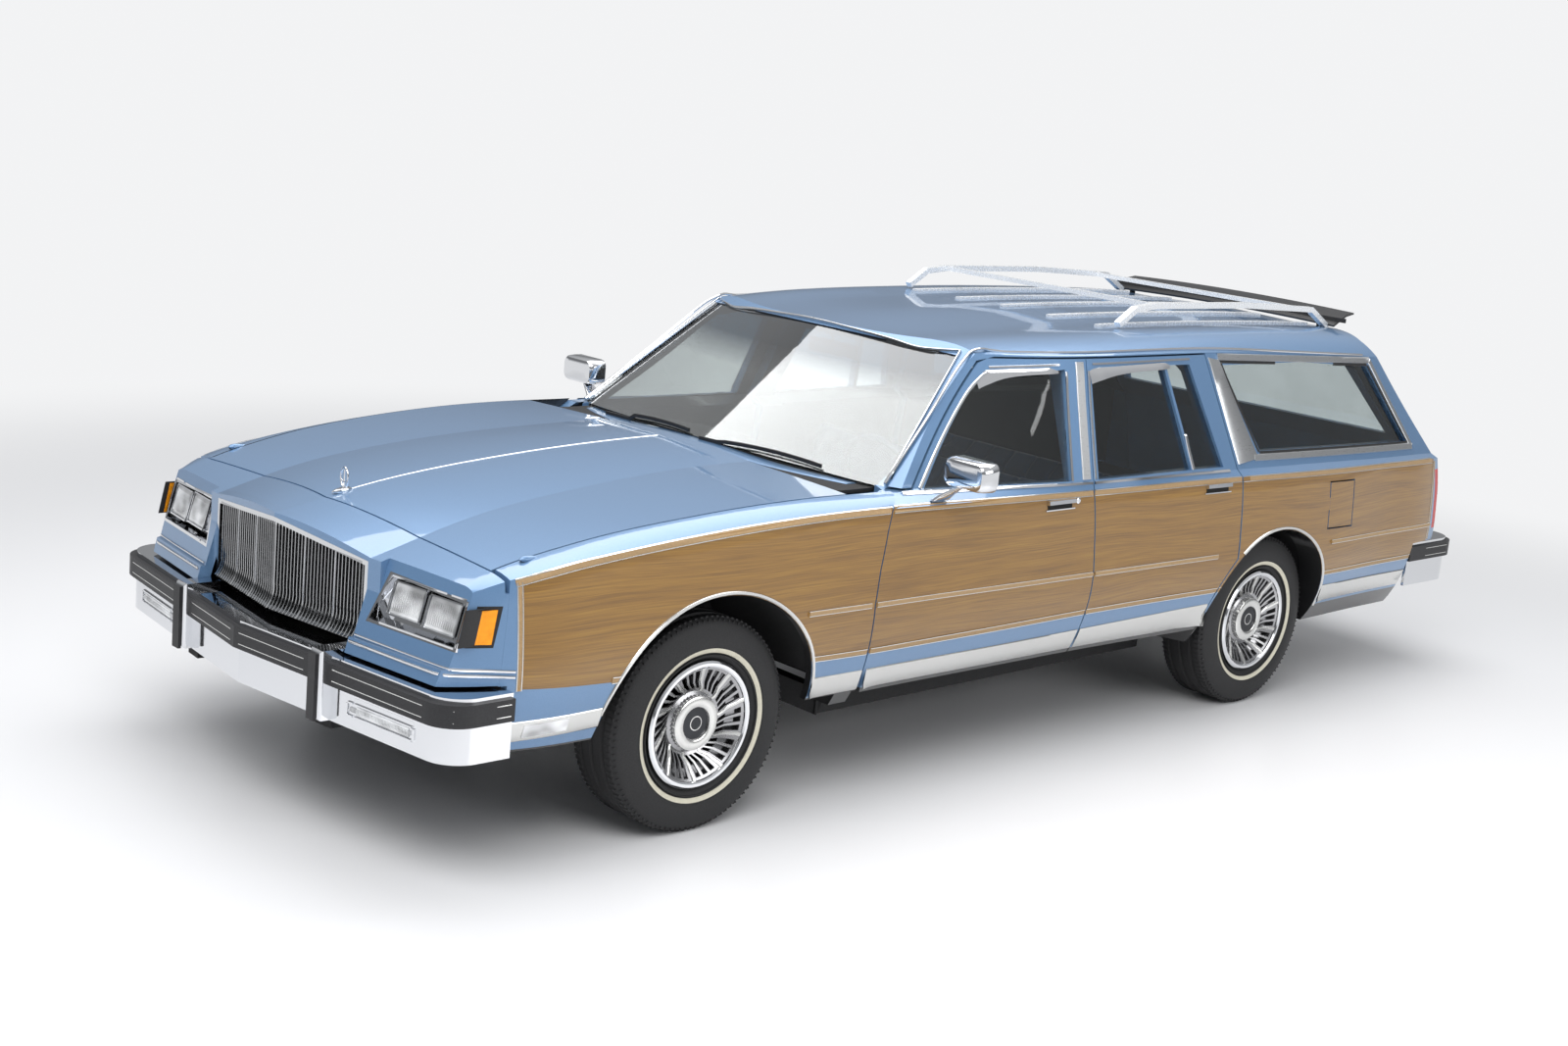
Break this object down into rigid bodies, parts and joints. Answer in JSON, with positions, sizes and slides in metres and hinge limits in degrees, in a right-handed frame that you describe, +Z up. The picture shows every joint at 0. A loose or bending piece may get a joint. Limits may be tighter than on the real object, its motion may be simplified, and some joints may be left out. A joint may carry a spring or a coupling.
{
  "type": "station wagon",
  "caption": "Long-bonnet estate car with wood-look side panels, upright bar grille, chrome bumpers, roof rack, opening doors, hood and fuel flap, steering and turning wheels.",
  "frame": {"origin": "on the ground under the middle of the car's bounding box", "axes": "+X to the car's left, -Y to its front, +Z up"},
  "size_m": [2.26, 5.6001, 1.5943],
  "materials": {
    "body_paint": "gloss metallic",
    "chrome": "polished",
    "dark_metal": "satin",
    "cast_metal": "rough",
    "tyre_rubber": "matt",
    "black_rubber": "matt",
    "glass": "clear",
    "clear_lens": "clear",
    "amber_lens": "gloss",
    "red_lens": "gloss",
    "blue_trim": "matt",
    "blue_cloth": "woven",
    "exhaust_metal": "dull"
  },
  "bodies": {
    "car_body": {"air_deflector": "dark_metal", "body_side_left": "body_paint", "body_side_right": "body_paint", "dashboard": "blue_trim", "engine": "cast_metal", "exhaust": "exhaust_metal", "fender_left": "body_paint", "fender_right": "body_paint", "floor_pan": "body_paint", "frame": "dark_metal", "front_arms": "dark_metal", "front_bumper": "chrome", "front_bumper_strip": "black_rubber", "front_seat": "blue_cloth", "fuel_tank": "dark_metal", "gearbox": "cast_metal", "grille": "chrome", "header_panel": "body_paint", "headlamps": "chrome", "inner_fenders": "dark_metal", "parking_lamps": "clear_lens", "quarter_glass": "glass", "radiator": "dark_metal", "rear_axle": "dark_metal", "rear_bumper": "chrome", "rear_bumper_strip": "black_rubber", "rear_seat": "blue_cloth", "roof_panel": "body_paint", "roof_rack": "chrome", "side_markers": "amber_lens", "tail_frame": "body_paint", "tail_lamps": "red_lens", "tailgate": "body_paint", "tailgate_glass": "glass", "windshield": "glass"},
    "hood": {"hood": "body_paint"},
    "fuel_door": {"fuel_door": "body_paint"},
    "steering_wheel": {"steering_wheel": "blue_trim"},
    "door_front_left": {"door_front_left": "body_paint", "glass_front_left": "glass", "mirror_left": "chrome"},
    "door_rear_left": {"door_rear_left": "body_paint", "glass_rear_left": "glass"},
    "knuckle_left": {"knuckle_left": "cast_metal"},
    "wheel_front_left": {"wheel_front_left": "chrome", "tyre_front_left": "tyre_rubber"},
    "wheel_rear_left": {"wheel_rear_left": "chrome", "tyre_rear_left": "tyre_rubber"},
    "door_front_right": {"door_front_right": "body_paint", "glass_front_right": "glass", "mirror_right": "chrome"},
    "door_rear_right": {"door_rear_right": "body_paint", "glass_rear_right": "glass"},
    "knuckle_right": {"knuckle_right": "cast_metal"},
    "wheel_front_right": {"wheel_front_right": "chrome", "tyre_front_right": "tyre_rubber"},
    "wheel_rear_right": {"wheel_rear_right": "chrome", "tyre_rear_right": "tyre_rubber"}
  },
  "joints": [
    {"name": "hood_hinge", "type": "hinge", "parent": "car_body", "child": "hood", "pos_m": [0, -1.122, 1.046], "axis": [-1, 0, 0], "range_deg": [0, 48]},
    {"name": "door_front_left_hinge", "type": "hinge", "parent": "car_body", "child": "door_front_left", "pos_m": [0.968, -1.047, 0.7], "axis": [0, 0, -1], "range_deg": [0, 66]},
    {"name": "door_rear_left_hinge", "type": "hinge", "parent": "car_body", "child": "door_rear_left", "pos_m": [0.968, 0.074, 0.7], "axis": [0, 0, -1], "range_deg": [0, 66]},
    {"name": "door_front_right_hinge", "type": "hinge", "parent": "car_body", "child": "door_front_right", "pos_m": [-0.968, -1.047, 0.7], "axis": [0, 0, 1], "range_deg": [0, 66]},
    {"name": "door_rear_right_hinge", "type": "hinge", "parent": "car_body", "child": "door_rear_right", "pos_m": [-0.968, 0.074, 0.7], "axis": [0, 0, 1], "range_deg": [0, 66]},
    {"name": "fuel_door_hinge", "type": "hinge", "parent": "car_body", "child": "fuel_door", "pos_m": [0.9965, 1.578, 0.815], "axis": [0, 0, -1], "range_deg": [0, 100]},
    {"name": "steering_wheel_turn", "type": "hinge", "parent": "car_body", "child": "steering_wheel", "pos_m": [0.372, -0.43, 0.915], "axis": [0, 0.9136, 0.4067], "range_deg": [-450, 450]},
    {"name": "steer_left", "type": "hinge", "parent": "car_body", "child": "knuckle_left", "pos_m": [0.69, -1.6965, 0.348], "axis": [0, 0, 1], "range_deg": [-32, 32]},
    {"name": "wheel_front_left_spin", "type": "hinge", "parent": "knuckle_left", "child": "wheel_front_left", "pos_m": [0.79, -1.6965, 0.348], "axis": [1, 0, 0], "continuous": true},
    {"name": "steer_right", "type": "hinge", "parent": "car_body", "child": "knuckle_right", "pos_m": [-0.69, -1.6965, 0.348], "axis": [0, 0, 1], "range_deg": [-32, 32]},
    {"name": "wheel_front_right_spin", "type": "hinge", "parent": "knuckle_right", "child": "wheel_front_right", "pos_m": [-0.79, -1.6965, 0.348], "axis": [1, 0, 0], "continuous": true},
    {"name": "wheel_rear_left_spin", "type": "hinge", "parent": "car_body", "child": "wheel_rear_left", "pos_m": [0.814, 1.2475, 0.348], "axis": [1, 0, 0], "continuous": true},
    {"name": "wheel_rear_right_spin", "type": "hinge", "parent": "car_body", "child": "wheel_rear_right", "pos_m": [-0.814, 1.2475, 0.348], "axis": [1, 0, 0], "continuous": true}
  ],
  "couplings": [
    {"joint": "steer_right", "follows": "steer_left", "ratio": 1},
    {"joint": "steering_wheel_turn", "follows": "steer_left", "ratio": 14}
  ]
}
